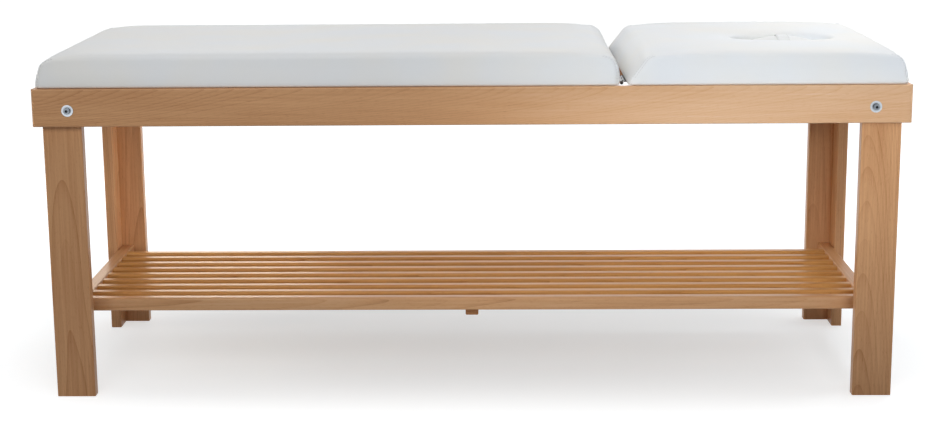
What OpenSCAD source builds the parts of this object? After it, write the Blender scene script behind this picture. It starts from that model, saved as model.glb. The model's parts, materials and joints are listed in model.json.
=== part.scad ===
// Wooden treatment table with a fixed long cushion, a lifting head section and a slatted shelf.
// X runs along the table with the head end at +X, Y runs across it with the front at -Y, Z is up.
// The origin is on the floor under the middle of the table. Sizes are in millimetres.

/* [Frame] */
// Length of the long rails
frame_length = 1950; // [1850:10:2100]
// Width over the long rails
frame_width = 650; // [600:10:760]
// Height of the top edge of the rails above the floor
rail_top = 720; // [600:5:820]
// Height of the rails
rail_height = 85; // [75:1:110]
// Thickness of the long rails and the end rails
rail_thick = 18; // [16:1:24]
// Radius on the upright outer corners of the long rails
rail_corner = 8; // [4:1:10]
// Radius on the long edges of the boards
board_edge = 3; // [1:0.5:4]
// Height of the cross rails under the long cushion
cross_height = 60; // [50:1:70]
// Thickness of the cross rails
cross_thick = 26; // [20:1:32]

/* [Legs] */
// Width of the board on each leg that lies along the long rail
leg_face = 88; // [80:1:110]
// Depth of each leg across the table
leg_depth = 82; // [70:1:100]
// Thickness of the leg boards
leg_thick = 26; // [22:1:30]
// Distance of the rail bolt from the outer end of the leg
bolt_inset = 63; // [54:1:66]
// Distance of the rail bolts below the top of the rails
bolt_drop = 48; // [40:1:55]
// Thread diameter of the rail bolts
bolt_d = 8; // [6:1:10]
// Diameter of the washer under each bolt head
washer_d = 26; // [22:1:30]

/* [Shelf] */
// Height of the top of the shelf battens above the floor
shelf_top = 210; // [120:5:320]
// Depth of the shelf over its outer slats
shelf_depth = 440; // [400:5:460]
// Width of a shelf slat
slat_width = 26; // [20:1:34]
// Height of a shelf slat
slat_height = 30; // [24:1:36]
// Radius on the upper edges of a slat
slat_round = 6; // [2:0.5:8]
// Width of the end battens and the middle batten
batten_width = 30; // [26:1:40]
// Height of the end battens
batten_height = 36; // [34:1:44]

/* [Cushions] */
// Thickness of the cushions with their panels
cushion_thick = 70; // [60:1:90]
// Distance of the cushions' sides inside the long rails' outer faces
cushion_inset = 7; // [2:1:12]
// Distance of the cushions' ends inside the ends of the long rails
cushion_end_inset = 6; // [2:1:12]
// Length of the head section at its underside
head_length = 620; // [600:5:680]
// Gap between the two cushions at their underside
cushion_gap = 15; // [12:0.5:20]
// Radius along the upper edges of the cushions
top_round = 28; // [18:1:32]
// Radius on the upright corners of the cushions
corner_round = 14; // [8:1:18]
// Lean of the head section's inner end, up to the middle of its upper edge
head_lean = 32; // [26:1:38]
// Thickness of the plywood panels
panel_thick = 15; // [12:1:18]

/* [Face hole] */
// Length of the face hole
hole_length = 240; // [200:5:250]
// Width of the face hole
hole_width = 130; // [110:5:140]
// Distance from the middle of the face hole to the head end of the cushion
hole_inset = 228; // [190:2:270]
// Depth of the plug's top below the cushion's top
plug_depth = 12; // [6:1:16]
// Width of the pull strap
strap_width = 30; // [20:1:40]

/* [Head lift] */
// Steepest tilt of the head section in degrees
tilt_max = 38; // [25:1:38]
// Free length between the ends of the lowered props and the legs
foot_room = 35.5; // [20:0.5:60]
// Depth of the props
prop_height = 24; // [20:1:26]
// Number of notches in each rack
notch_count = 4; // [2:1:4]

/* [Hidden] */
$fn = 48;

// Colours as the photograph shows them
beech = [0.78, 0.60, 0.44];
beech_pale = [0.84, 0.68, 0.52];
plywood = [0.80, 0.68, 0.50];
zinc = [0.75, 0.76, 0.78];
vinyl = [0.94, 0.94, 0.93];
foam = [0.93, 0.90, 0.78];

// Small overlaps of cutting shapes past the faces that they cut
past = 1;

// Frame
half_length = frame_length / 2;
half_width = frame_width / 2;
rail_bottom = rail_top - rail_height;
rail_inner = half_width - rail_thick;
leg_outer = half_length - rail_thick;
leg_head_room = 3;
leg_length = rail_top - leg_head_room;
dowel_d = 10;
dowel_half = 12;
dowel_spread = cross_height / 4;
cross_z = rail_top - cross_height / 2;

// Rail bolts
bolt_x = leg_outer - bolt_inset;
bolt_z = rail_top - bolt_drop;
end_bolt_y = rail_inner - (leg_depth + leg_thick) / 2;
bolt_play = 0.25;
bolt_head_d = 1.65 * bolt_d;
bolt_head_h = bolt_d;
bolt_socket = 0.75 * bolt_d;
bolt_end = 3;
nut_across = 1.63 * bolt_d;
nut_h = 0.8 * bolt_d;
washer_t = 1.6;

// Shelf
slat_count = 9;
slat_drop = 1;
slat_top = shelf_top - slat_drop;
slat_pitch = (shelf_depth - slat_width) / (slat_count - 1);
batten_outer = leg_outer - leg_thick;
batten_inner = batten_outer - batten_width;
batten_half = rail_inner - leg_thick;
middle_batten_h = 18;
middle_batten_inset = 20;
middle_batten_half = shelf_depth / 2 - middle_batten_inset;
slat_foot_round = 2;
slat_dowel_half = 20;

// Cushions: the head section's inner end leans back so that it has room to tilt
cover_t = 2;
cover_play = 0.4;
hem = 32;
cushion_half = half_width - cushion_inset;
cushion_end = half_length - cushion_end_inset;
head_start = cushion_end - head_length;
main_end = head_start - cushion_gap;
cushion_top = rail_top + cushion_thick;
panel_top = rail_top + panel_thick;
lean_foot = 4;
lean_out = head_lean + top_round;
lean_up = cushion_thick - top_round - lean_foot;
lean_angle = atan(lean_out / lean_up) - asin(top_round / sqrt(pow(lean_out, 2) + pow(lean_up, 2)));
panel_lean = panel_thick * tan(lean_angle);
panel_corner = ceil(corner_round + (top_round - corner_round) * (panel_thick - lean_foot) / lean_up);

// Face hole and plug
hole_x = cushion_end - hole_inset;
plug_ledge = 12;
plug_play = 2;
plug_round = 10;
plug_base_t = 6;
plug_top = cushion_top - plug_depth;
oval_points = 48;
round_steps = 4;
strap_t = 2;
strap_rise = 8;
strap_half = 0.29 * hole_width;
strap_tab = 12;

// Hinges under the gap between the cushions
knuckle_r = 4;
hinge_pin_r = 2;
leaf_t = 2;
leaf_width = 38;
hinge_length = 90;
hinge_y = 0.62 * half_width;
knuckles = 5;
knuckle_gap = 0.3;
running_play = 0.05;
hinge_x = head_start - cushion_gap / 2;
hinge_z = rail_top - knuckle_r;
leaf_clear = 2;
cross_hinge_x = hinge_x - leaf_width - leaf_clear - cross_thick;
cross_foot_x = -half_length * 2 / 3;
cross_middle_x = (cross_hinge_x + cross_foot_x) / 2;

// Props: as long as the reach of their pivot, so the feet keep close to one level as the head lifts
prop_reach = (leg_outer - leg_face - foot_room - prop_height / 2 - hinge_x) / 2;
prop_drop = prop_height / 2;
prop_thick = 15;
rack_thick = 16;
rack_clear = 8;
prop_outer = rail_inner - rack_thick - rack_clear;
prop_inner = prop_outer - prop_thick;
pivot_x = hinge_x + prop_reach;
pivot_z = hinge_z - prop_drop;
prop_pin_r = 4;
pin_head_r = 7;
pin_head_t = 3;
pin_head_gap = 0.4;
lug_t = 4;
lug_gap = 2;
lug_outer = prop_inner - lug_gap;
plate_t = 3;
plate_half = 22;
plate_width = 38;
stretcher_r = 9;
stretcher_at = 26;
stretcher_seat = 5;
peg_r = 6;
peg_seat = 11;
peg_clear = 4;
peg_end = rail_inner - peg_clear;

// Racks: the crest follows the feet, which rise a little towards the steepest tilt
rack_depth = 34;
rack_land = 14;
foot_gap = 0.3;
notch_play = 0.4;
notch_sink = 1;
notch_ramp = 5;
function foot_x(tilt) = hinge_x + 2 * prop_reach * cos(tilt) + prop_drop * sin(tilt);
function foot_z(tilt) = hinge_z - prop_drop * cos(tilt);
rack_start = foot_x(tilt_max) - 1.6 * rack_land;
rack_end = foot_x(0) + rack_land;
crest_slope = (foot_z(tilt_max) - foot_z(0)) / (foot_x(0) - foot_x(tilt_max));
function crest(x) = foot_z(0) - peg_r - foot_gap + crest_slope * (foot_x(0) - x);

// Rectangle with four rounded corners
module rounded(w, h, r) {
  translate([r, 0]) square([w - 2 * r, h]);
  translate([0, r]) square([w, h - 2 * r]);
  for (x = [r, w - r], y = [r, h - r]) translate([x, y]) circle(r);
}

// Boards with rounded long edges that run along X, Y or Z from their lowest corner
module board_x(corner, size, r) {
  translate(corner) rotate([90, 0, 90]) linear_extrude(size[0]) rounded(size[1], size[2], r);
}
module board_y(corner, size, r) {
  translate([corner[0], corner[1] + size[1], corner[2]])
    rotate([90, 0, 0]) linear_extrude(size[1]) rounded(size[0], size[2], r);
}
module board_z(corner, size, r) {
  translate(corner) linear_extrude(size[2]) rounded(size[0], size[1], r);
}

// Round rods and bores along X and Y from a start point
module rod_x(start, length, r) {
  translate(start) rotate([0, 90, 0]) cylinder(r = r, h = length);
}
module rod_y(start, length, r) {
  translate(start) rotate([-90, 0, 0]) cylinder(r = r, h = length);
}

// Profile in the XZ plane drawn out along Y between two faces
module profile_y(from_y, to_y) {
  translate([0, to_y, 0]) rotate([90, 0, 0]) linear_extrude(to_y - from_y) children();
}

// Children as they are at the front, or turned over to the rear
module at_side(rear) {
  mirror([0, rear ? 1 : 0, 0]) children();
}

// Children as they are at the head end, or turned over to the foot end
module at_end(foot) {
  mirror([foot ? 1 : 0, 0, 0]) children();
}

// Places of the bolt axes: each points outwards from the leg through the rail
module at_bolts() {
  for (sx = [-1, 1], sy = [-1, 1]) {
    translate([sx * bolt_x, sy * half_width, bolt_z]) rotate([-90 * sy, 0, 0]) children();
    translate([sx * half_length, sy * end_bolt_y, bolt_z]) rotate([0, 90 * sx, 0]) children();
  }
}

module bolt_bores() {
  bore_length = rail_thick + leg_thick + 2 * past;
  at_bolts() translate([0, 0, past - bore_length]) cylinder(r = bolt_d / 2 + bolt_play, h = bore_length);
}

module rail_plan() {
  translate([rail_corner - half_length, -half_width]) square([frame_length - 2 * rail_corner, rail_thick]);
  translate([-half_length, rail_corner - half_width]) square([frame_length, rail_thick - rail_corner]);
  for (s = [-1, 1])
    translate([s * (half_length - rail_corner), rail_corner - half_width]) circle(rail_corner);
}

module long_rail(rear) {
  color(beech) difference() {
    at_side(rear) intersection() {
      board_x([-half_length, -half_width, rail_bottom], [frame_length, rail_thick, rail_height], board_edge);
      translate([0, 0, rail_bottom - past]) linear_extrude(rail_height + 2 * past) rail_plan();
    }
    bolt_bores();
    dowel_rods();
  }
}

module end_rail(foot) {
  color(beech) difference() {
    at_end(foot)
      board_y([leg_outer, -rail_inner, rail_bottom], [rail_thick, 2 * rail_inner, rail_height], board_edge);
    bolt_bores();
  }
}

// Dowels that hold the cross rails to the long rails, two in each end
module dowel_rods() {
  for (x = [cross_hinge_x, cross_middle_x, cross_foot_x], s = [-1, 1], up = [-1, 1])
    rod_y([x + cross_thick / 2, s * rail_inner - dowel_half, cross_z + up * dowel_spread],
      2 * dowel_half, dowel_d / 2);
}

module cross_rail(x) {
  color(beech) difference() {
    board_y([x, -rail_inner, rail_top - cross_height],
      [cross_thick, 2 * rail_inner, cross_height], board_edge);
    dowel_rods();
  }
}

module cross_rail_dowels() {
  color(beech_pale) dowel_rods();
}

// Each leg is an angle of two boards: one along the long rail and one along the end rail
module leg_side(foot, rear) {
  color(beech) difference() {
    at_end(foot) at_side(rear)
      board_z([leg_outer - leg_face, -rail_inner, 0], [leg_face, leg_thick, leg_length], board_edge);
    bolt_bores();
  }
}

module leg_end(foot, rear) {
  color(beech) difference() {
    at_end(foot) at_side(rear)
      board_z([batten_outer, leg_thick - rail_inner, 0],
        [leg_thick, leg_depth - leg_thick, leg_length], board_edge);
    bolt_bores();
  }
}

module rail_bolts() {
  shank = washer_t + rail_thick + leg_thick + washer_t + nut_h + bolt_end;
  color(zinc) at_bolts() {
    translate([0, 0, washer_t - shank]) cylinder(r = bolt_d / 2, h = shank);
    difference() {
      translate([0, 0, washer_t]) cylinder(r = bolt_head_d / 2, h = bolt_head_h);
      translate([0, 0, washer_t + bolt_head_h / 2])
        cylinder(r = bolt_socket / 2 / cos(30), h = bolt_head_h, $fn = 6);
    }
  }
}

module rail_bolt_washers() {
  color(zinc) at_bolts() for (z = [0, -rail_thick - leg_thick - washer_t]) translate([0, 0, z])
    difference() {
      cylinder(r = washer_d / 2, h = washer_t);
      translate([0, 0, -past]) cylinder(r = bolt_d / 2 + bolt_play, h = washer_t + 2 * past);
    }
}

module rail_bolt_nuts() {
  color(zinc) at_bolts() translate([0, 0, -rail_thick - leg_thick - washer_t - nut_h]) difference() {
    cylinder(r = nut_across / 2 / cos(30), h = nut_h, $fn = 6);
    translate([0, 0, -past]) cylinder(r = bolt_d / 2, h = nut_h + 2 * past);
  }
}

// Shelf: slats dowelled between the end battens, with a batten under their middle
function slat_y(i) = slat_width / 2 - shelf_depth / 2 + (i - 1) * slat_pitch;

module slat_section() {
  translate([-slat_width / 2, slat_foot_round])
    square([slat_width, slat_height - slat_foot_round - slat_round]);
  translate([slat_foot_round - slat_width / 2, 0])
    square([slat_width - 2 * slat_foot_round, slat_height / 2]);
  translate([slat_round - slat_width / 2, slat_height / 2])
    square([slat_width - 2 * slat_round, slat_height / 2]);
  for (s = [-1, 1]) {
    translate([s * (slat_width / 2 - slat_foot_round), slat_foot_round]) circle(slat_foot_round);
    translate([s * (slat_width / 2 - slat_round), slat_height - slat_round]) circle(slat_round);
  }
}

module slat_dowel_rods() {
  for (i = [1 : slat_count], s = [-1, 1])
    rod_x([s * batten_inner - slat_dowel_half, slat_y(i), slat_top - slat_height / 2],
      2 * slat_dowel_half, dowel_d / 2);
}

module shelf_slat(i) {
  color(beech_pale) difference() {
    translate([-batten_inner, slat_y(i), slat_top - slat_height])
      rotate([90, 0, 90]) linear_extrude(2 * batten_inner) slat_section();
    slat_dowel_rods();
  }
}

module shelf_batten(foot) {
  color(beech) difference() {
    at_end(foot) board_y([batten_inner, -batten_half, shelf_top - batten_height],
      [batten_width, 2 * batten_half, batten_height], board_edge);
    slat_dowel_rods();
  }
}

module shelf_batten_middle() {
  color(beech) board_y([-batten_width / 2, -middle_batten_half, slat_top - slat_height - middle_batten_h],
    [batten_width, 2 * middle_batten_half, middle_batten_h], board_edge);
}

module shelf_dowels() {
  color(beech_pale) slat_dowel_rods();
}

// Outer form of a cushion, or the same form taken in by a skin thickness
module cushion_form(x_from, x_to, lean, skin) {
  foot_r = corner_round - skin;
  top_r = top_round - skin;
  hull() for (y = [-1, 1]) {
    for (x = [x_from + corner_round, x_to - corner_round])
      translate([x, y * (cushion_half - corner_round), rail_top + skin])
        cylinder(r = foot_r, h = lean_foot - skin, $fn = 32);
    for (x = [x_from + lean + top_round, x_to - top_round])
      translate([x, y * (cushion_half - top_round), cushion_top - top_round]) sphere(top_r, $fn = 32);
  }
}

module main_form(skin) {
  cushion_form(-cushion_end, main_end, 0, skin);
}

module head_form(skin) {
  cushion_form(head_start, cushion_end, head_lean, skin);
}

// Opening of the hem on a cover's underside
module hem_opening(x_from, x_to) {
  translate([x_from + hem, hem - cushion_half, rail_top - past])
    cube([x_to - x_from - 2 * hem, 2 * (cushion_half - hem), cover_t + 2 * past]);
}

// Everything below the top of the panels, which the foam rests on
module below_foam() {
  translate([-half_length, -half_width, rail_top - past])
    cube([frame_length, frame_width, panel_thick + past]);
}

// Plywood panel with a shallow rebate round its underside for the cover's hem
module panel_plan(x_from, x_to) {
  inset = cover_t + cover_play;
  translate([x_from + inset, inset - cushion_half])
    rounded(x_to - x_from - 2 * inset, 2 * (cushion_half - inset), panel_corner - inset);
}

module panel(x_from, x_to, lean) {
  translate([0, 0, rail_top + cover_t])
    linear_extrude(panel_thick - cover_t) panel_plan(x_from + lean, x_to);
  translate([x_from + hem + cover_play, hem + cover_play - cushion_half, rail_top])
    cube([x_to - x_from - 2 * (hem + cover_play), 2 * (cushion_half - hem - cover_play), cover_t]);
}

module main_panel() {
  color(plywood) panel(-cushion_end, main_end, 0);
}

module main_foam() {
  color(foam) difference() {
    main_form(cover_t + cover_play);
    below_foam();
  }
}

module main_cover() {
  color(vinyl) difference() {
    main_form(0);
    main_form(cover_t);
    hem_opening(-cushion_end, main_end);
  }
}

// Upright column with an oval section at the face hole
module oval_column(grow, from_z, to_z) {
  translate([hole_x, 0, from_z]) linear_extrude(to_z - from_z) oval(grow);
}

module oval(grow) {
  turn = 360 / oval_points;
  polygon([for (i = [0 : oval_points - 1])
    [(hole_length / 2 + grow) * cos(turn * i), (hole_width / 2 + grow) * sin(turn * i)]]);
}

module head_panel() {
  color(plywood) difference() {
    panel(head_start, cushion_end, panel_lean);
    oval_column(-plug_ledge, rail_top - past, panel_top + past);
  }
}

module head_foam() {
  color(foam) difference() {
    head_form(cover_t + cover_play);
    below_foam();
    oval_column(cover_t + cover_play, panel_top - past, cushion_top + past);
  }
}

// The cover also lines the face hole down to the panel
module head_cover() {
  color(vinyl) difference() {
    head_form(0);
    difference() {
      head_form(cover_t);
      oval_column(cover_t, panel_top, cushion_top + past);
    }
    hem_opening(head_start, cushion_end);
    oval_column(0, panel_top - past, cushion_top + past);
  }
}

// Oval plug with a rounded upper edge, or the same form taken in by a skin thickness
module plug_form(skin) {
  edge = plug_round - skin;
  slice = 0.01;
  hull() {
    oval_column(-plug_play - skin, panel_top, plug_top - plug_round);
    for (i = [1 : round_steps])
      oval_column(-plug_play - skin - edge * (1 - cos(90 * i / round_steps)),
        plug_top - plug_round + edge * sin(90 * i / round_steps) - slice,
        plug_top - plug_round + edge * sin(90 * i / round_steps));
  }
}

module plug_base() {
  color(plywood) oval_column(-plug_play - cover_t - cover_play, panel_top, panel_top + plug_base_t);
}

module plug_foam() {
  color(foam) difference() {
    plug_form(cover_t + cover_play);
    oval_column(0, panel_top - past, panel_top + plug_base_t);
  }
}

module plug_cover() {
  color(vinyl) difference() {
    plug_form(0);
    plug_form(cover_t);
    oval_column(-plug_play - cover_t, panel_top - past, panel_top + past);
  }
}

// Pull strap: a low arch over the plug with a sewn tab at each end
module plug_strap() {
  bend_r = (pow(strap_half, 2) + pow(strap_rise, 2)) / (2 * strap_rise);
  color(vinyl) translate([hole_x - strap_width / 2, 0, plug_top])
    rotate([90, 0, 90]) linear_extrude(strap_width) {
      intersection() {
        translate([0, strap_rise + strap_t - bend_r]) difference() {
          circle(bend_r, $fn = 96);
          circle(bend_r - strap_t, $fn = 96);
        }
        translate([-strap_half, 0]) square([2 * strap_half, strap_rise + strap_t]);
      }
      for (s = [-1, 1]) translate([s * (strap_half + strap_tab / 2 - past) - strap_tab / 2, 0])
        square([strap_tab, strap_t]);
    }
}

// Hinge knuckles are numbered from the front; odd ones belong to the main leaf
module knuckle_row(odd, grow) {
  step = hinge_length / knuckles;
  for (k = [odd ? 0 : 1 : 2 : knuckles - 1])
    translate([0, k * step + knuckle_gap / 2 - grow, 0]) rotate([-90, 0, 0])
      cylinder(r = knuckle_r + grow, h = step - knuckle_gap + 2 * grow);
}

// Leaf that lies under its panel with its free edge at -X, rolled into knuckles round the axis
module hinge_leaf(odd, play) {
  step = hinge_length / knuckles;
  difference() {
    union() {
      translate([-leaf_width, 0, knuckle_r - leaf_t]) cube([leaf_width, hinge_length, leaf_t]);
      knuckle_row(odd, 0);
    }
    for (k = [odd ? 1 : 0 : 2 : knuckles - 1])
      translate([-knuckle_r - knuckle_gap, k * step - knuckle_gap / 2, -2 * knuckle_r])
        cube([3 * knuckle_r, step + knuckle_gap, 4 * knuckle_r]);
    rod_y([0, -past, 0], hinge_length + 2 * past, hinge_pin_r + play);
  }
}

module at_hinge(rear) {
  translate([hinge_x, (rear ? hinge_y : -hinge_y) - hinge_length / 2, hinge_z]) children();
}

module main_leaf(rear) {
  color(zinc) at_hinge(rear) hinge_leaf(true, 0);
}

module head_leaf(rear) {
  color(zinc) at_hinge(rear) mirror([1, 0, 0]) hinge_leaf(false, running_play);
}

module hinge_pins() {
  color(zinc) for (rear = [false, true]) at_hinge(rear) rod_y([0, 0, 0], hinge_length, hinge_pin_r);
}

// Bracket under the head panel: a screwed plate with a lug for the prop's pivot, drawn at the rear
module prop_bracket(rear) {
  color(zinc) at_side(!rear) difference() {
    union() {
      translate([pivot_x - plate_half, lug_outer - plate_width, rail_top - plate_t])
        cube([2 * plate_half, plate_width, plate_t]);
      profile_y(lug_outer - lug_t, lug_outer) {
        translate([pivot_x, pivot_z]) circle(prop_height / 2);
        translate([pivot_x - prop_height / 2, pivot_z])
          square([prop_height, rail_top - pivot_z - plate_t / 2]);
      }
    }
    rod_y([pivot_x, lug_outer - lug_t - past, pivot_z], lug_t + 2 * past, prop_pin_r);
  }
}

// Pivot pin: rivetted through the lug, with a shoulder that keeps the prop clear of it
module prop_pins() {
  pin_start = lug_outer - lug_t;
  pin_end = prop_outer + pin_head_gap;
  shoulder = lug_gap - pin_head_gap;
  color(zinc) for (rear = [false, true]) at_side(!rear) {
    rod_y([pivot_x, pin_start - pin_head_t, pivot_z], pin_end + pin_head_t - pin_start, prop_pin_r);
    rod_y([pivot_x, pin_start - pin_head_t, pivot_z], pin_head_t, pin_head_r);
    rod_y([pivot_x, lug_outer, pivot_z], shoulder, pin_head_r);
    rod_y([pivot_x, pin_end, pivot_z], pin_head_t, pin_head_r);
  }
}

module stretcher_rod() {
  rod_y([pivot_x + stretcher_at, -prop_inner - stretcher_seat, pivot_z],
    2 * (prop_inner + stretcher_seat), stretcher_r);
}

module peg_rod(rear) {
  at_side(!rear)
    rod_y([foot_x(0), prop_outer - peg_seat, foot_z(0)], peg_end - prop_outer + peg_seat, peg_r);
}

module prop_arm(rear) {
  color(beech) difference() {
    at_side(!rear) profile_y(prop_inner, prop_outer) {
      for (x = [pivot_x, foot_x(0)]) translate([x, pivot_z]) circle(prop_height / 2);
      translate([pivot_x, pivot_z - prop_height / 2]) square([foot_x(0) - pivot_x, prop_height]);
    }
    at_side(!rear)
      rod_y([pivot_x, prop_inner - past, pivot_z], prop_thick + 2 * past, prop_pin_r + running_play);
    stretcher_rod();
    peg_rod(rear);
  }
}

module prop_stretcher() {
  color(beech_pale) stretcher_rod();
}

module prop_peg(rear) {
  color(beech_pale) peg_rod(rear);
}

// Notched rack on the inner face of a long rail; each notch is steep on the side that takes the load
module rack(rear) {
  color(beech) at_side(!rear) profile_y(rail_inner - rack_thick, rail_inner) difference() {
    polygon([
      [rack_start, crest(rack_end) - rack_depth],
      [rack_end, crest(rack_end) - rack_depth],
      [rack_end, crest(rack_end)],
      [rack_start, crest(rack_start)]
    ]);
    for (i = [1 : notch_count]) notch(foot_x(tilt_max * i / notch_count));
  }
}

module notch(x) {
  seat_r = peg_r + notch_play;
  translate([x, crest(x) - notch_sink]) {
    circle(seat_r);
    translate([-seat_r, 0]) square([2 * seat_r, 2 * notch_sink]);
    polygon([
      [-seat_r - notch_ramp, 2 * notch_sink],
      [-seat_r * cos(45), -seat_r * sin(45)],
      [0, 2 * notch_sink]
    ]);
  }
}

long_rail(false);  // front_rail
long_rail(true);  // rear_rail
end_rail(true);  // foot_end_rail
end_rail(false);  // head_end_rail
cross_rail(cross_hinge_x);  // hinge_cross_rail
cross_rail(cross_middle_x);  // middle_cross_rail
cross_rail(cross_foot_x);  // foot_cross_rail
cross_rail_dowels();
leg_side(true, false);  // leg_front_foot_side
leg_end(true, false);  // leg_front_foot_end
leg_side(true, true);  // leg_rear_foot_side
leg_end(true, true);  // leg_rear_foot_end
leg_side(false, false);  // leg_front_head_side
leg_end(false, false);  // leg_front_head_end
leg_side(false, true);  // leg_rear_head_side
leg_end(false, true);  // leg_rear_head_end
rail_bolts();
rail_bolt_washers();
rail_bolt_nuts();
for (i = [1 : slat_count]) shelf_slat(i);
shelf_batten(true);  // shelf_batten_foot
shelf_batten(false);  // shelf_batten_head
shelf_batten_middle();
shelf_dowels();
main_panel();
main_foam();
main_cover();
rack(false);  // rack_front
rack(true);  // rack_rear
main_leaf(false);  // hinge_front_main_leaf
main_leaf(true);  // hinge_rear_main_leaf
hinge_pins();
head_leaf(false);  // hinge_front_head_leaf
head_leaf(true);  // hinge_rear_head_leaf
head_panel();
head_foam();
head_cover();
prop_bracket(false);  // prop_bracket_front
prop_bracket(true);  // prop_bracket_rear
prop_pins();
prop_arm(false);  // prop_arm_front
prop_arm(true);  // prop_arm_rear
prop_stretcher();
prop_peg(false);  // prop_peg_front
prop_peg(true);  // prop_peg_rear
plug_base();
plug_foam();
plug_cover();
plug_strap();
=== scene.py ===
import json
import math
import random

import bmesh
import bpy
from mathutils import Matrix, Vector
from mathutils.bvhtree import BVHTree


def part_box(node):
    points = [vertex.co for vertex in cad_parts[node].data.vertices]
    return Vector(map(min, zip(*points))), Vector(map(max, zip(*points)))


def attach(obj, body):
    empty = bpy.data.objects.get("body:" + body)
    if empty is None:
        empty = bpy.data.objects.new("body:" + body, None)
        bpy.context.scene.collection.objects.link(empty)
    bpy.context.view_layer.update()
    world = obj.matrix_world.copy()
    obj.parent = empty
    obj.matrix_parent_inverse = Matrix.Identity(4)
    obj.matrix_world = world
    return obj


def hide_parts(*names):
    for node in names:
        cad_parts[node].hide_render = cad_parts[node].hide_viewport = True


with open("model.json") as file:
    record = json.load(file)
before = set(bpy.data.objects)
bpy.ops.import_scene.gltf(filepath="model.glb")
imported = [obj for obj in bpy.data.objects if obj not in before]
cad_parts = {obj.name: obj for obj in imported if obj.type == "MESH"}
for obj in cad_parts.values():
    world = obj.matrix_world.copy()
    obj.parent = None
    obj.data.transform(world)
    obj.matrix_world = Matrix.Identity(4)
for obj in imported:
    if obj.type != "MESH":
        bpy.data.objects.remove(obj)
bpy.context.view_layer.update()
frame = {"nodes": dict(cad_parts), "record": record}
cadNodes = frame["nodes"]
cadSlots = {row["node"]: row["material_slot"] for row in frame["record"]["subparts"]}
scene = bpy.context.scene
scene.view_settings.view_transform = "Standard"
print("frame loaded:", len(cadNodes), "pieces")

# Camera: stands where the photograph was taken from, a little above the cushions
shot = {
    "place": (0.059, -3.834, 1.264),
    "yaw": -1.25,
    "pitch": 10.65,
    "roll": -0.51,
    "focalPixels": 1610,
    "imageWidth": 940,
    "sensor": 36,
    "axisRight": -8.2,  # pixels from the middle of the image to the lens axis
    "axisUp": 80,
}


def setCamera():
    yaw, pitch, roll = (math.radians(shot[key]) for key in ("yaw", "pitch", "roll"))
    ahead = Vector((math.sin(yaw) * math.cos(pitch), math.cos(yaw) * math.cos(pitch), -math.sin(pitch)))
    level = Vector((math.cos(yaw), -math.sin(yaw), 0))
    upright = level.cross(ahead)
    right = level * math.cos(roll) + upright * math.sin(roll)
    up = upright * math.cos(roll) - level * math.sin(roll)
    lens = bpy.data.cameras.new("shot")
    lens.sensor_width = shot["sensor"]
    lens.lens = shot["focalPixels"] / shot["imageWidth"] * shot["sensor"]
    lens.shift_x = -shot["axisRight"] / shot["imageWidth"]
    lens.shift_y = -shot["axisUp"] / shot["imageWidth"]
    camera = bpy.data.objects.new("shot", lens)
    turn = Matrix((right, up, -ahead)).transposed().to_4x4()
    camera.matrix_world = Matrix.Translation(shot["place"]) @ turn
    scene.collection.objects.link(camera)
    scene.camera = camera


setCamera()
print("camera set")


def linear(red, green, blue):  # a colour as a picture shows it, turned into light
    def part(value):
        value /= 255
        return value / 12.92 if value <= 0.04045 else ((value + 0.055) / 1.055) ** 2.4

    return part(red), part(green), part(blue), 1


def feed(tree, node, sockets):  # links, or values that are the same all over, into a node
    for key, value in sockets.items():
        if isinstance(value, bpy.types.NodeSocket):
            tree.links.new(value, node.inputs[key])
        else:
            node.inputs[key].default_value = value


def put(tree, kind, sockets=None, **settings):  # one node, with its settings and what feeds it
    node = tree.nodes.new(kind)
    for key, value in settings.items():
        setattr(node, key, value)
    feed(tree, node, sockets or {})
    return node


def sums(tree, operation, *values):
    return put(tree, "ShaderNodeMath", dict(enumerate(values)), operation=operation).outputs[0]


def added(tree, value, weight, base):  # a base and a share of a value
    return sums(tree, "MULTIPLY_ADD", value, weight, base)


def vectors(tree, operation, first, second):
    second = {3 if operation == "SCALE" else 1: second}
    node = put(tree, "ShaderNodeVectorMath", {0: first, **second}, operation=operation)
    return node.outputs["Value" if operation == "DOT_PRODUCT" else "Vector"]


def partsOf(tree, vector):
    return put(tree, "ShaderNodeSeparateXYZ", {0: vector}).outputs


def between(tree, value, start, stop, first, last, **settings):
    # goes from first to last as the value goes from start to stop
    limits = dict(enumerate((value, start, stop, first, last)))
    return put(tree, "ShaderNodeMapRange", limits, **settings).outputs[0]


def spotOn(tree, kind="Object"):
    return put(tree, "ShaderNodeTexCoord").outputs[kind]


def newMaterial(name):
    material = bpy.data.materials.new(name)
    material.use_nodes = True
    tree = material.node_tree
    tree.nodes.clear()
    shader = put(tree, "ShaderNodeBsdfPrincipled")
    put(tree, "ShaderNodeOutputMaterial", {"Surface": shader.outputs[0]})
    return material, tree, shader


def rampOf(tree, factor, stops):  # colours along a factor, or greys where a stop is one number
    ramp = put(tree, "ShaderNodeValToRGB", {0: factor})
    marks = ramp.color_ramp.elements
    while len(marks) < len(stops):
        marks.new(0.5)
    for mark, (place, colour) in zip(marks, stops):
        mark.position = place
        mark.color = colour if isinstance(colour, tuple) else (colour, colour, colour, 1)
    return ramp.outputs[0]


def mixed(tree, factor, first, second):
    return put(tree, "ShaderNodeMix", {0: factor, 6: first, 7: second}, data_type="RGBA").outputs[2]


def speckle(tree, vector, scale, detail=2.0, rough=0.5):
    return put(tree, "ShaderNodeTexNoise",
               {"Vector": vector, "Scale": scale, "Detail": detail, "Roughness": rough}).outputs


def streaks(tree, vector, along, across, detail, rough):  # noise drawn out along X
    drawn = put(tree, "ShaderNodeMapping", {"Vector": vector, "Scale": (along, across, across)}).outputs[0]
    return speckle(tree, drawn, 1, detail, rough)


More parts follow.
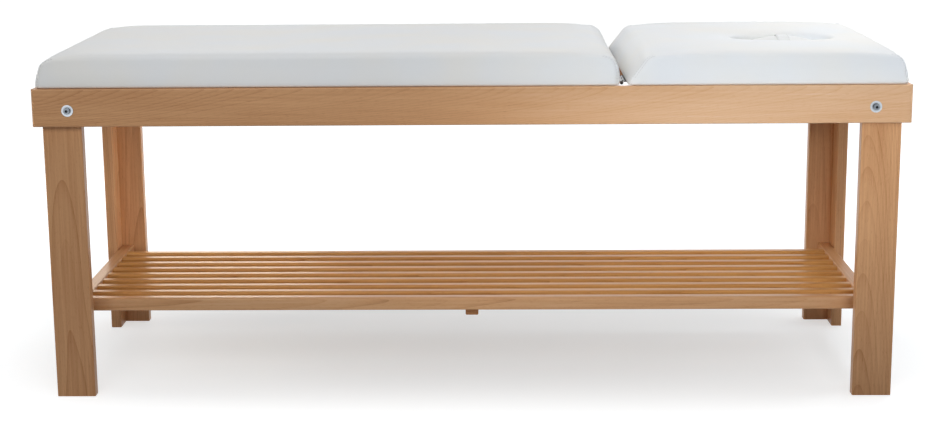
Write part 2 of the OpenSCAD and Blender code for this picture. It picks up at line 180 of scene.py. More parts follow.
def emboss(tree, shader, height, strength, distance):
    bump = put(tree, "ShaderNodeBump", {"Height": height, "Strength": strength, "Distance": distance})
    feed(tree, shader, {"Normal": bump.outputs[0]})


def dress(name, material):
    cadNodes[name].data.materials.clear()
    cadNodes[name].data.materials.append(material)


# Studio: a white floor that keeps the shadow, a white sky and soft lamps
studio = {
    "floorHalf": 30,
    "floorColour": (0.525, 0.565, 0.59, 1),
    "floorRoughness": 0.9,
    "floorGlow": (0.46, 1.0),  # under the table and clear of it
    "shadeCentre": (0.05, 0.16, 0),  # the rounded patch of floor that keeps the table's shade
    "shadeHalf": (1.6, 0.71, 1),
    "glowReach": (0.3, 1.22),  # where the glow starts to grow and where it is full, in halves of the patch
    "skyLight": (0.195, 0.20, 0.21, 1),
    "skyWhite": (1, 1, 1, 1),
    "glint": 100,  # narrower beams than this do not show in gloss
    "lamps": [
        # name, place, aim, width and height, power, spread, colour
        ("windowRight", (0.85, -3.0, 1.25), (0.85, -0.3, 0.57), (1.3, 0.25), 1.38, 24, (0.94, 1, 1.08)),
        ("fillFront", (-0.5, -1.9, 1.6), (-0.4, -0.3, 0.7), (2.0, 0.8), 11.5, 150, (1, 1, 1)),
        ("softTop", (-0.6, 0.5, 2.7), (-0.3, 0.0, 0.7), (2.4, 1.4), 12.5, 180, (1, 1, 1)),
        ("topRight", (1.3, 0.6, 2.4), (1.05, 0.0, 0.8), (0.6, 0.8), 1.9, 60, (1, 1, 1)),
        ("backdrop", (0.0, 2.9, 1.7), (0.0, 0.0, 0.75), (3.6, 0.9), 14, 180, (1, 1, 1)),
        ("lowRight", (3.0, 0.1, 0.7), (-0.9, 0.2, 0.35), (1.0, 0.8), 5, 99, (1, 1, 1)),
        ("underRail", (2.4, -1.6, 0.45), (-0.86, 0.28, 0.4), (0.3, 0.2), 0.3, 12, (1, 1, 1)),
        ("slatShine", (-1.15, 2.4, 0.6), (-0.6, 0.0, 0.21), (1.0, 0.4), 6.5, 180, (1, 0.86, 0.66)),
        ("leftEnd", (-2.4, 0.0, 0.62), (-0.5, 0.0, 0.36), (0.7, 0.3), 1.1, 36, (1, 0.9, 0.76)),
    ],
}


def seenDirectly(tree):  # one for what the camera sees, also in gloss and glass
    rays = put(tree, "ShaderNodeLightPath").outputs
    return sums(tree, "MAXIMUM", rays["Is Camera Ray"],
                sums(tree, "MAXIMUM", rays["Is Glossy Ray"], rays["Is Transmission Ray"]))


def setSky():
    world = bpy.data.worlds.new("studio")
    world.use_nodes = True
    scene.world = world
    tree = world.node_tree
    tree.nodes.clear()
    light, white = (put(tree, "ShaderNodeBackground", {"Color": studio[key], "Strength": 1}).outputs[0]
                    for key in ("skyLight", "skyWhite"))
    mix = put(tree, "ShaderNodeMixShader", {0: seenDirectly(tree), 1: light, 2: white})
    put(tree, "ShaderNodeOutputWorld", {"Surface": mix.outputs[0]})


def layFloor():
    half = studio["floorHalf"]
    corners = [(-half, -half, 0), (half, -half, 0), (half, half, 0), (-half, half, 0)]
    mesh = bpy.data.meshes.new("floor")
    mesh.from_pydata(corners, [], [(0, 1, 2, 3)])
    floor = bpy.data.objects.new("floor", mesh)
    scene.collection.objects.link(floor)
    material, tree, shader = newMaterial("whiteFloor")
    feed(tree, shader, {"Base Color": studio["floorColour"], "Roughness": studio["floorRoughness"],
                        "Specular IOR Level": 0})
    share = vectors(tree, "SUBTRACT", spotOn(tree), studio["shadeCentre"])
    share = vectors(tree, "DIVIDE", share, studio["shadeHalf"])
    for _ in range(2):  # fourth powers round the patch off
        share = vectors(tree, "MULTIPLY", share, share)
    far = sums(tree, "POWER", vectors(tree, "DOT_PRODUCT", share, (1, 1, 0)), 1 / 4)
    level = between(tree, far, *studio["glowReach"], *studio["floorGlow"], interpolation_type="SMOOTHSTEP")
    glow = put(tree, "ShaderNodeEmission", {"Strength": sums(tree, "MULTIPLY", seenDirectly(tree), level)})
    both = put(tree, "ShaderNodeAddShader", {0: shader.outputs[0], 1: glow.outputs[0]})
    out = next(node for node in tree.nodes if node.type == "OUTPUT_MATERIAL")
    feed(tree, out, {"Surface": both.outputs[0]})
    mesh.materials.append(material)


def hangLamps():
    for name, place, aim, size, power, spread, colour in studio["lamps"]:
        lamp = bpy.data.lights.new(name, "AREA")
        lamp.shape = "RECTANGLE"
        lamp.size, lamp.size_y = size
        lamp.energy = power
        lamp.spread = math.radians(spread)
        lamp.color = colour
        holder = bpy.data.objects.new(name, lamp)
        holder.location = place
        holder.visible_camera = False
        holder.visible_glossy = spread > studio["glint"]
        holder.rotation_euler = (Vector(aim) - Vector(place)).to_track_quat("-Z", "Y").to_euler()
        scene.collection.objects.link(holder)


setSky()
layFloor()
hangLamps()
print("studio set")

# Beech: growth rings round a heart line that runs beside each board, with fibres, pores and dark end grain
wood = {
    "board": {
        "tones": (linear(238, 207, 182), linear(228, 186, 147), linear(213, 162, 116), linear(168, 112, 67)),
        "shine": (1, 0.94, 0.86, 1),  # tint of the oiled surface's gloss
        "gloss": 0.34,
        "roughness": 0.32,
        "coat": (0.1, 0.3),  # weight and roughness
    },
    "slat": {
        # the slats' deeper orange tones are painted bounce light and shade from the gaps between them
        "tones": (linear(240, 205, 160), linear(232, 184, 126), linear(216, 159, 94), linear(170, 109, 50)),
        "shine": (1, 0.86, 0.66, 1),
        "gloss": 0.32,
        "roughness": 0.26,
        "coat": (0.03, 0.18),
    },
    "stops": (0.0, 0.14, 0.5, 1.0),  # where the four tones lie, from pale to dark
    "palest": 0.14,  # least shade of a board
    "frontSlat": "shelf_slat_1",  # toned as the boards are: its front lies outside the gaps, so it has none of the painted bounce light and shade of the other slats
    "rings": (0.0048, 0.022),  # width of a growth ring, and the taper of the trunk
    "wavyRings": {"front_rail": (0.0034, 0.09), "leg_front_head_side": (0.004, 0.05)},
    "lateWood": 4,  # how narrow the dark edge of a ring is, and how much it varies
    "lateVaries": 0.8,
    # streaks along and across the grain, with their detail and roughness
    "bend": (1.3, 5, 2, 0.5),
    "fibre": (4, 190, 4, 0.6),
    "cloud": (1.6, 9, 2, 0.5),
    "pore": (85, 780, 1, 0.5),
    "poreStops": [(0.60, 0.0), (0.70, 1.0)],
    "wander": 0.02,
    "endGrain": 6,  # how squarely the grain has to be cut to show dark
    "shade": 0.36,
    "shares": {"late": 0.3, "fibre": 0.62, "cloud": 0.55, "pore": 0.14, "endGrain": 0.32},
    "roughShares": {"fibre": 0.16, "endGrain": 0.15},
    "reliefShares": {"late": -0.4, "pore": -0.5},
    "relief": (0.12, 0.0006),  # strength and depth
    "heartDepth": 0.07,  # from the middle of a board to its heart line, and how far it varies
    "depthVaries": (0.7, 1.5),
    "asideVaries": 0.4,  # across a board, in its widths from the middle
    "heartAside": {"front_rail": 0.6},
    "alongVaries": 3,
    "toneSpread": 0.06,
    # boards toned darker, by their names or the first word of them: painted shade on the shelf under the
    # table top and on the front rail, whose left end lies further from the light; a darker tone on the legs
    "deeper": {"leg": 0.22, "shelf": 0.18, "shelf_slat_1": 0.05, "front_rail": 0.14},
    "paintedSheens": {"front_rail": 0.44},  # painted light and sheen: how much paler a board is painted toward the head of the table
    "paintedSheenReach": (-0.3, 0.6),
    "turns": {"x": (0, 0, 0), "y": (0, 0, -90), "z": (0, 90, 0)},
}
chance = random.Random(11)


def beechMaterial(name, grain, heart, tone, kind):
    finish, shares = wood[kind], wood["shares"]
    material, tree, shader = newMaterial("beech_" + name)
    turn = [math.radians(angle) for angle in wood["turns"][grain]]
    toGrain = Matrix.Rotation(turn[2], 3, "Z") @ Matrix.Rotation(turn[1], 3, "Y")
    spot = spotOn(tree)
    board = put(tree, "ShaderNodeMapping",
                {"Vector": spot, "Location": -(toGrain @ heart), "Rotation": turn}).outputs[0]
    drift = vectors(tree, "SUBTRACT", streaks(tree, board, *wood["bend"])["Color"], (0.5, 0.5, 0.5))
    bent = partsOf(tree, vectors(tree, "ADD", board, vectors(tree, "SCALE", drift, wood["wander"])))
    squares = sums(tree, "ADD", sums(tree, "POWER", bent[1], 2), sums(tree, "POWER", bent[2], 2))
    width, taper = wood["wavyRings"].get(name, wood["rings"])
    phase = added(tree, partsOf(tree, board)[0], taper, sums(tree, "SQRT", squares))
    phase = sums(tree, "DIVIDE", phase, width)
    weight = put(tree, "ShaderNodeTexWhiteNoise", {"W": sums(tree, "FLOOR", phase)}, noise_dimensions="1D")
    weight = added(tree, weight.outputs["Value"], wood["lateVaries"], 1 - wood["lateVaries"])
    late = sums(tree, "POWER", sums(tree, "FRACT", phase), wood["lateWood"])
    late = sums(tree, "MULTIPLY", late, weight)
    fibre, cloud, pore = (streaks(tree, board, *wood[key])["Fac"] for key in ("fibre", "cloud", "pore"))
    pore = rampOf(tree, pore, wood["poreStops"])
    across = vectors(tree, "DOT_PRODUCT", spotOn(tree, "Normal"), toGrain.transposed() @ Vector((1, 0, 0)))
    endGrain = sums(tree, "POWER", sums(tree, "ABSOLUTE", across), wood["endGrain"])
    shade = added(tree, late, shares["late"], wood["shade"] + tone)
    shade = added(tree, sums(tree, "SUBTRACT", fibre, 0.5), shares["fibre"], shade)
    shade = added(tree, sums(tree, "SUBTRACT", cloud, 0.5), shares["cloud"], shade)
    shade = added(tree, pore, shares["pore"], shade)
    shade = added(tree, endGrain, shares["endGrain"], shade)
    # painted light and sheen: the board is painted paler toward the head of the table, where the light falls
    # brighter
    if name in wood["paintedSheens"]:
        paintedSheen = between(tree, partsOf(tree, spot)[0], *wood["paintedSheenReach"], 0, -wood["paintedSheens"][name],
                       interpolation_type="SMOOTHSTEP")
        shade = sums(tree, "ADD", shade, paintedSheen)
    # the slats' tones carry painted bounce light and shade, the front slat's do not
    tones = wood["board" if name == wood["frontSlat"] else kind]["tones"]
    shade = added(tree, shade, 1 - wood["palest"], wood["palest"])
    rough = added(tree, fibre, wood["roughShares"]["fibre"], finish["roughness"])
    feed(tree, shader, {
        "Base Color": rampOf(tree, shade, list(zip(wood["stops"], tones))),
        "Roughness": added(tree, endGrain, wood["roughShares"]["endGrain"], rough),
        "Specular IOR Level": finish["gloss"], "Specular Tint": finish["shine"],
        "Coat Weight": finish["coat"][0], "Coat Roughness": finish["coat"][1]})
    relief = added(tree, pore, wood["reliefShares"]["pore"], fibre)
    emboss(tree, shader, added(tree, late, wood["reliefShares"]["late"], relief), *wood["relief"])
    return material


def dressBoards():
    place = {"x": 0, "y": 1, "z": 2}
    for name in sorted(cadNodes):
        if cadSlots.get(name) not in ("beech", "beech_pale"):
            continue
        low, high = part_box(name)
        size = high - low
        grain = max("xyz", key=lambda axis: size[place[axis]])
        if name.endswith("dowels"):
            grain = "x" if name.startswith("shelf") else "y"
        across = (axis for axis in "xyz" if axis != grain)
        thin, wide = sorted((place[axis] for axis in across), key=lambda number: size[number])
        heart = (low + high) / 2
        heart[thin] += wood["heartDepth"] * chance.choice((-1, 1)) * chance.uniform(*wood["depthVaries"])
        aside = chance.uniform(-wood["asideVaries"], wood["asideVaries"])
        heart[wide] += wood["heartAside"].get(name, aside) * size[wide]
        heart[place[grain]] += chance.uniform(-wood["alongVaries"], wood["alongVaries"])
        # darker tones by name: painted shade on the shelf and the front rail, a darker tone on the legs
        deeper = wood["deeper"].get(name, wood["deeper"].get(name.split("_")[0], 0))
        tone = chance.uniform(-1, 1) * wood["toneSpread"] + deeper
        kind = "slat" if cadSlots[name] == "beech_pale" else "board"
        dress(name, beechMaterial(name, grain, heart, tone, kind))


dressBoards()
print("boards dressed")

# Zinc plate: bright, faintly blue, with a fine crystal pattern, dull patches and painted shade in its nooks;
# the bolts and hinges take darker copies of it
zinc = {
    "plate": (linear(186, 191, 198), linear(214, 222, 230)),
    # the bolts' darker tones are painted dark reflection in their heads; the hinges' darker tones are painted
    # shade in the gap between the cushions
    "bolt": (linear(104, 109, 116), linear(150, 157, 165)),
    "hinge": (linear(84, 88, 92), linear(112, 117, 122)),
    "stops": (0.2, 0.75),
    "nookShade": linear(38, 40, 42),
    "nookShadeReach": 0.007,
    "nookShadeRays": 8,
    "nookShadeStops": (0.45, 0.9),  # from full painted shade to none, by how open a spot is
    "crystal": 900,
    "patch": 60,
    "crystalShare": 0.35,
    "roughness": (0.2, 0.22),  # least, and what the patches add
    "relief": (0.05, 0.0003),
}


def zincMaterial(name, tones):
    material, tree, shader = newMaterial(name)
    spot = spotOn(tree)
    crystal = put(tree, "ShaderNodeTexVoronoi", {"Vector": spot, "Scale": zinc["crystal"]}).outputs["Color"]
    grey = put(tree, "ShaderNodeSeparateColor", {0: crystal}).outputs[0]
    patch = speckle(tree, spot, zinc["patch"], 3)["Fac"]
    share = zinc["crystalShare"]
    shade = added(tree, grey, share, sums(tree, "MULTIPLY", patch, 1 - share))
    # painted shade: ambient occlusion darkens the zinc toward a dark grey in its nooks and round its joins
    nookOcclusion = put(tree, "ShaderNodeAmbientOcclusion", {"Distance": zinc["nookShadeReach"]},
               samples=zinc["nookShadeRays"])
    unshaded = between(tree, nookOcclusion.outputs["AO"], *zinc["nookShadeStops"], 0, 1)
    bright = rampOf(tree, shade, list(zip(zinc["stops"], tones)))
    least, more = zinc["roughness"]
    feed(tree, shader, {"Base Color": mixed(tree, unshaded, zinc["nookShade"], bright),
                        "Roughness": added(tree, patch, more, least), "Metallic": 1})
    emboss(tree, shader, shade, *zinc["relief"])
    return material


# Plywood: a plain veneer on the faces and thin plies in turn along the edges
plywood = {
    "face": linear(222, 186, 142),
    "vein": linear(196, 152, 106),
    "edgeDark": linear(150, 108, 70),
    "ply": 0.0015,
    "fineVein": (2.2, 60, 4, 0.6),  # streaks along and across the grain, with their detail and roughness
    "slowVein": (1, 6, 2, 0.5),
    "veinShares": (0.6, 0.5),
    "faceStops": (0.35, 0.8),
    "edgeStops": (0.35, 0.75),
    "edgeVein": 0.3,
    "flatFrom": 0.6,  # upward lean from which a side counts as a face
    "roughness": (0.5, 0.2),
    "relief": (0.15, 0.0005),
}


def plywoodMaterial():
    material, tree, shader = newMaterial("birchPlywood")
    spot = spotOn(tree)
    vein, slow = (streaks(tree, spot, *plywood[key])["Fac"] for key in ("fineVein", "slowVein"))
    fineShare, slowShare = plywood["veinShares"]
    veneer = added(tree, slow, slowShare, sums(tree, "MULTIPLY", vein, fineShare))
    face = rampOf(tree, veneer, list(zip(plywood["faceStops"], (plywood["face"], plywood["vein"]))))
    plies = sums(tree, "PINGPONG", sums(tree, "DIVIDE", partsOf(tree, spot)[2], plywood["ply"]), 1)
    edge = rampOf(tree, added(tree, vein, plywood["edgeVein"], plies),
                  list(zip(plywood["edgeStops"], (plywood["face"], plywood["edgeDark"]))))
    upright = sums(tree, "ABSOLUTE", partsOf(tree, spotOn(tree, "Normal"))[2])
    flat = sums(tree, "GREATER_THAN", upright, plywood["flatFrom"])
    least, more = plywood["roughness"]
    feed(tree, shader, {"Base Color": mixed(tree, flat, edge, face),
                        "Roughness": added(tree, vein, more, least)})
    emboss(tree, shader, veneer, *plywood["relief"])
    return material


zincPlate = zincMaterial("zincPlate", zinc["plate"])
# darker copies of the plate: painted dark reflection on the bolt heads, painted shade on the hinges in the
# gap between the cushions
boltSteel = zincMaterial("boltSteel", zinc["bolt"])
hingeSteel = zincMaterial("hingeSteel", zinc["hinge"])
birchPlywood = plywoodMaterial()
for name, slot in cadSlots.items():
    metal = hingeSteel if name.startswith("hinge") else boltSteel if name == "rail_bolts" else zincPlate
    if slot in ("zinc_steel", "plywood"):
        dress(name, metal if slot == "zinc_steel" else birchPlywood)
print("metal and panels dressed")

# Leatherette: white, with a fine pebble and a slow change of tone
leatherette = {
    "cool": linear(238, 240, 241),
    "warm": linear(241, 240, 236),
    "slow": 6,
    "stops": (0.35, 0.65),
    "pebble": 760,
    "wobble": 300,  # makes the pebbles uneven, and by how much
    "wobbleReach": 0.0012,
    "crease": 190,
    "creaseShare": 0.6,
    "roughness": (0.46, 0.14),
    "relief": (0.22, 0.0005),
    "gloss": 0.45,
    "sheen": (0.06, 0.4),  # weight and roughness
}


def leatheretteMaterial():
    material, tree, shader = newMaterial("whiteLeatherette")
    spot = spotOn(tree)
    slow = speckle(tree, spot, leatherette["slow"])["Fac"]
    wobble = speckle(tree, spot, leatherette["wobble"], 1)["Color"]
    place = vectors(tree, "ADD", spot, vectors(tree, "SCALE", wobble, leatherette["wobbleReach"]))
    cells = put(tree, "ShaderNodeTexVoronoi", {"Vector": place, "Scale": leatherette["pebble"]},
                feature="SMOOTH_F1").outputs["Distance"]
    creases = speckle(tree, spot, leatherette["crease"], 3)["Fac"]
    least, more = leatherette["roughness"]
    tones = zip(leatherette["stops"], (leatherette["cool"], leatherette["warm"]))
    feed(tree, shader, {
        "Base Color": rampOf(tree, slow, list(tones)), "Roughness": added(tree, cells, more, least),
        "Specular IOR Level": leatherette["gloss"],
        "Sheen Weight": leatherette["sheen"][0], "Sheen Roughness": leatherette["sheen"][1]})
    emboss(tree, shader, added(tree, creases, leatherette["creaseShare"], cells), *leatherette["relief"])
    return material


whiteLeatherette = leatheretteMaterial()

# Cushions: closed covers lofted ring by ring round their panels, then puffed up by cloth
cushions = {
    "step": 0.018,  # spacing of the mesh along the sides
    "fewest": 8,
    "footSteps": 3,
    "sideSteps": 4,
    "foldSteps": 7,
    "cornerSteps": 6,
    "cornerRadius": 0.016,  # at the foot of a corner, and at its top
    "topCorner": 0.024,
    "tightest": 0.0015,
    "lowRound": 0.006,  # turn of the cover under the panel's edge
    "topRound": 0.010,  # fold along the front and back, and over the ends
    "endRound": 0.028,
    "hem": 0.032,
    "hemCorner": 0.002,
    "coverThick": 0.002,
    "pocketPlay": 0.0006,
    "slack": 0.0022,  # how much smaller the cover starts, and over how many rings that comes in
    "slackSteps": 3,
    "seamFrom": 2,  # the first ring of the foot with a seam
    "margin": 0.014,  # from the folds to the grid of the top
    "pressure": 0.8,
    "most": 0.0055,  # farthest that a point may swell
    "fill": 0.9,
    "sharp": 50,
    "headLean": 0.035,  # of the head section's inner end
    "leanFoot": 0.004,
    "leanRound": 0.024,
    "drawIn": 0.006,  # how far the sides come in toward the top
    "droop": 0.007,  # how far the top sinks at its sewn corners, and how soon that fades
    "droopCore": 0.016,
    "droopReach": 0.034,
    "droopFrom": 0.01,  # above the panel
    "bulge": 0.004,  # of the long cushion's end at the gap
    "bulgeReach": 0.04,
}
clothRun = {
    "frames": 12,
    "settings": {"quality": 5, "mass": 0.3, "tension_stiffness": 25, "compression_stiffness": 25,
                 "shear_stiffness": 8, "bending_stiffness": 3, "use_pressure": True},
}


def arc(steps, start, stop):
    return [math.radians(start + (stop - start) * i / steps) for i in range(steps + 1)]


def held(value):  # kept from none to one
    return min(1, max(0, value))


def footProfile(low):
    bend = cushions["lowRound"]
    return [(bend - bend * math.sin(a), low + bend - bend * math.cos(a))
            for a in arc(cushions["footSteps"], 0, 90)]


def sideProfile(low, high, fold):
    # inset from the side's plane and height, from under the edge up and over onto the top
    start, drawIn, count = low + cushions["lowRound"], cushions["drawIn"], cushions["sideSteps"]
    tilt = math.atan(2 * drawIn / (high - fold - start))
    stop = high - fold + fold * math.sin(tilt)
    points = footProfile(low)
    points += [(drawIn * (i / count) ** 2, start + (stop - start) * i / count) for i in range(1, count)]
    points += [(drawIn + fold * (math.cos(tilt) - math.cos(a)), stop + fold * (math.sin(a) - math.sin(tilt)))
               for a in arc(cushions["foldSteps"], math.degrees(tilt), 90)]
    return points


def leanProfile(low, high, lean):
    # the same count of points for the head section's inner end, which leans back
    fold, bend = cushions["topRound"], cushions["leanRound"]
    out, rise = lean + fold, high - fold - low - cushions["leanFoot"]
    angle = math.atan2(out, rise) - math.asin(fold / math.hypot(out, rise))
    slope = math.tan(angle)
    out -= (fold - bend) * (1 / math.cos(angle) - slope)  # the same plane, with another fold at its top
    touch = (out - bend * math.cos(angle), high - bend + bend * math.sin(angle))
    start, count = low + cushions["lowRound"], cushions["sideSteps"]
    points = footProfile(low)
    for i in range(1, count):
        height = start + (touch[1] - start) * i / count
        points.append((touch[0] - (touch[1] - height) * slope, height))
    points += [(out - bend * math.cos(a), high - bend + bend * math.sin(a))
               for a in arc(cushions["foldSteps"], math.degrees(angle), 90)]
    return points


def ringOf(edges, radius, height, leftHeight, rightHeight, counts):
    # one closed ring of points, anticlockwise from the front left: sides with both ends, corners between
    left, right, front, back = edges
    sides = [
        ((left + radius, front), (right - radius, front), counts[0], height),
        ((right, front + radius), (right, back - radius), counts[1], rightHeight),
        ((right - radius, back), (left + radius, back), counts[0], height),
        ((left, back - radius), (left, front + radius), counts[1], leftHeight),
    ]
    centres = [
        (right - radius, front + radius, height, rightHeight, -90),
        (right - radius, back - radius, rightHeight, height, 0),
        (left + radius, back - radius, height, leftHeight, 90),
        (left + radius, front + radius, leftHeight, height, 180),
    ]
    steps = cushions["cornerSteps"]
    points = []
    for (start, stop, count, z), (x, y, zFrom, zTo, turn) in zip(sides, centres):
        for i in range(count + 1):
            share = i / count
            along = [start[axis] + (stop[axis] - start[axis]) * share for axis in (0, 1)]
            points.append(Vector((*along, z)))
        for i in range(1, steps):
            a = math.radians(turn + 90 * i / steps)
            level = zFrom + (zTo - zFrom) * i / steps
            points.append(Vector((x + radius * math.cos(a), y + radius * math.sin(a), level)))
    return points


def seamSpots(counts):  # places in a ring of the middle of each corner
    half = cushions["cornerSteps"] // 2
    spots, at = [], 0
    for count in counts * 2:
        at += count + 1
        spots.append(at + half - 1)
        at += cushions["cornerSteps"] - 1
    return spots


def bridge(form, lower, upper):
    size = len(lower)
    for i in range(size):
        j = (i + 1) % size
        form.faces.new((lower[i], lower[j], upper[j], upper[i]))


def bridgeAll(form, rows):
    for lower, upper in zip(rows, rows[1:]):
        bridge(form, lower, upper)


def closeEnds(form, rows):  # rings joined into a closed form, with a face at each end
    bridgeAll(form, rows)
    form.faces.new(rows[0])
    form.faces.new(rows[-1])
    bmesh.ops.recalc_face_normals(form, faces=form.faces)


def fillTop(form, ring, counts, edges, height):
    # a grid of faces inside a ring whose corners have no radius
    left, right, front, back = edges
    columns, rows = counts
    corner = cushions["cornerSteps"] - 1
    rightAt = columns + 1 + corner
    backAt = rightAt + rows + 1 + corner
    leftAt = backAt + columns + 1 + corner

    def pointAt(i, j):
        if j == 0:
            return ring[i]
        if j == rows:
            return ring[backAt + columns - i]
        if i == columns:
            return ring[rightAt + j]
        if i == 0:
            return ring[leftAt + rows - j]
        x, y = left + (right - left) * i / columns, front + (back - front) * j / rows
        return form.verts.new((x, y, height))

    grid = [[pointAt(i, j) for j in range(rows + 1)] for i in range(columns + 1)]
    for i in range(columns):
        for j in range(rows):
            form.faces.new((grid[i][j], grid[i + 1][j], grid[i + 1][j + 1], grid[i][j + 1]))


def shadeSmooth(mesh, sharp=None):
    for face in mesh.polygons:
        face.use_smooth = True
    if sharp:
        mesh.set_sharp_from_angle(angle=math.radians(sharp))


def meshOf(name, form, sharp=None):
    mesh = bpy.data.meshes.new(name)
    form.to_mesh(mesh)
    form.free()
    shadeSmooth(mesh, sharp)
    return mesh


def newPiece(name, form, material, sharp=None):
    piece = bpy.data.objects.new(name, meshOf(name, form, sharp))
    piece.data.materials.append(material)
    scene.collection.objects.link(piece)
    return piece


def plainMesh(piece):  # what the piece's modifiers make of it, as its own mesh
    old = piece.data
    plain = bpy.data.meshes.new_from_object(piece.evaluated_get(bpy.context.evaluated_depsgraph_get()))
    piece.modifiers.clear()
    piece.data = plain
    plain.name = piece.name
    bpy.data.meshes.remove(old)
    return plain


def surfaceOf(piece):
    form = bmesh.new()
    form.from_mesh(piece.data)
    surface = BVHTree.FromBMesh(form)
    form.free()
    return surface


def coverRings(low, high, top, panelTop, lean, counts):
    # rings from the pocket round the panel, over the hem and up the sides, with their pinned and seam marks
    profiles = [sideProfile(low.z, top, cushions["topRound"]),
                leanProfile(low.z, top, lean) if lean else sideProfile(low.z, top, cushions["endRound"]),
                sideProfile(low.z, top, cushions["endRound"])]  # front and back, left, right
    rings = []

    def addRing(insets, heights, radius, pinned, seam):
        edges = (low.x + insets[1], high.x - insets[2], low.y + insets[0], high.y - insets[0])
        rings.append((ringOf(edges, radius, *heights, counts), pinned, seam))
        return edges

    thick, play, slack = cushions["coverThick"], cushions["pocketPlay"], cushions["slack"]
    skin = thick + play
    pocket = (skin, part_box("head_panel")[0].x - play - low.x if lean else skin, skin)
    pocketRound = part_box("plug_base")[0].z - low.z
    for height in (panelTop, low.z + thick):
        addRing(pocket, [height] * 3, pocketRound, True, False)
    for height in (low.z + thick, low.z):
        addRing([cushions["hem"]] * 3, [height] * 3, cushions["hemCorner"], True, False)
    foot = cushions["footSteps"]
    for step, spots in enumerate(zip(*profiles)):
        inset, height = spots[0]
        rise = max(0, (height - low.z) / (top - low.z))
        grow = (cushions["topCorner"] - cushions["cornerRadius"]) * rise ** 2
        radius = max(cushions["cornerRadius"] + grow - inset, cushions["tightest"])
        tight = slack * held((step - foot) / cushions["slackSteps"])
        addRing([x + tight for x, _ in spots], [z for _, z in spots], radius,
                step <= foot, step >= cushions["seamFrom"])
    insets = [profile[-1][0] + slack + cushions["margin"] for profile in profiles]
    edges = addRing(insets, [top] * 3, 0, False, False)
    return rings, edges


def cushionForm(box, lean, hole=None):
    # the cover as a closed form, with the pocket that its panel fills; pinned and seam points are marked
    low, high = box
    top = high.z - cushions["slack"]
    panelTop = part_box("main_panel")[1].z + cushions["pocketPlay"]
    counts = [max(cushions["fewest"], round((high[axis] - low[axis]) / cushions["step"])) for axis in (0, 1)]
    rings, edges = coverRings(low, high, top, panelTop, lean, counts)
    form = bmesh.new()
    pin = form.verts.layers.float.new("pin")
    seam = form.verts.layers.int.new("seam")
    order = form.verts.layers.int.new("order")
    spots = seamSpots(counts)
    made = []
    for level, (points, pinned, hasSeam) in enumerate(rings):
        row = [form.verts.new(point) for point in points]
        for i, vert in enumerate(row):
            vert[pin] = 1.0 if pinned else 0.0
            vert[order] = level
            if hasSeam and i in spots:
                vert[seam] = spots.index(i) + 1
                vert[pin] = 1.0
        made.append(row)
    bridgeAll(form, made)
    if hole is None:
        fillTop(form, made[-1], counts, edges, top)
    else:
        sinkHole(form, made[-1], made[0], hole, top, panelTop, pin, order, len(rings))
    bmesh.ops.remove_doubles(form, verts=form.verts, dist=1e-6)
    bmesh.ops.dissolve_degenerate(form, edges=form.edges, dist=1e-7)
    bmesh.ops.recalc_face_normals(form, faces=form.faces)
    start = panelTop + cushions["droopFrom"]
    for vert in form.verts:
        share = held((vert.co.z - start) / (top - start))
        for x in (low.x + lean, high.x):
            for y in (low.y, high.y):
                away = max(0, math.hypot(vert.co.x - x, vert.co.y - y) - cushions["droopCore"])
                vert.co.z -= cushions["droop"] * share * math.exp(-away / cushions["droopReach"])
        if not lean and vert.co.z > panelTop:
            near = held(1 - (high.x - vert.co.x) / cushions["bulgeReach"])
            rise = (vert.co.z - panelTop) / (high.z - panelTop)
            vert.co.x += cushions["bulge"] * near * math.sin(math.pi * rise)
    print("  cover form:", len(form.verts), "points")
    return form


def closePocket(mesh):  # a flat face over what is still open, above the panel
    form = bmesh.new()
    form.from_mesh(mesh)
    rim = [edge for edge in form.edges if edge.is_boundary]
    if rim:
        bmesh.ops.contextual_create(form, geom=rim)
        bmesh.ops.recalc_face_normals(form, faces=form.faces)
        form.to_mesh(mesh)
    form.free()


# Face hole: room for the plug, with a rounded lip
faceHole = {
    "play": 0.002,
    "lip": 0.009,
    "lipSteps": 5,
    "wallSteps": 4,
    "inward": (0.10, 0.22, 0.36, 0.50, 0.63, 0.75, 0.85, 0.93),  # rings from the top's edge to the lip
}


def sinkHole(form, outer, pocket, hole, top, panelTop, pin, order, level):
    # rings from the cushion's top in to the face hole, over its lip and down its wall to the panel
    centre, halfLong, halfWide = hole
    lip, wallSteps = faceHole["lip"], faceHole["wallSteps"]
    turns = [math.atan2((v.co.y - centre.y) / halfWide, (v.co.x - centre.x) / halfLong) for v in outer]
    starts = [v.co.copy() for v in outer]

    def oval(grow, height):
        long, wide = halfLong + grow, halfWide + grow
        return [Vector((centre.x + long * math.cos(a), centre.y + wide * math.sin(a), height)) for a in turns]

    rim = oval(lip, top)
    levels = [[a.lerp(b, share) for a, b in zip(starts, rim)] for share in faceHole["inward"]]
    levels += [oval(lip - lip * math.sin(a), top - lip + lip * math.cos(a))
               for a in arc(faceHole["lipSteps"], 0, 90)]
    wallFrom = top - lip
    levels += [oval(0, wallFrom + (panelTop - wallFrom) * i / wallSteps) for i in range(1, wallSteps + 1)]
    rows = [outer]
    for step, points in enumerate(levels):
        rows.append([form.verts.new(point) for point in points])
        for vert in rows[-1]:
            vert[pin] = 1.0 if step >= len(levels) - wallSteps - 1 else 0.0
            vert[order] = level + step
    bridgeAll(form, rows + [pocket])


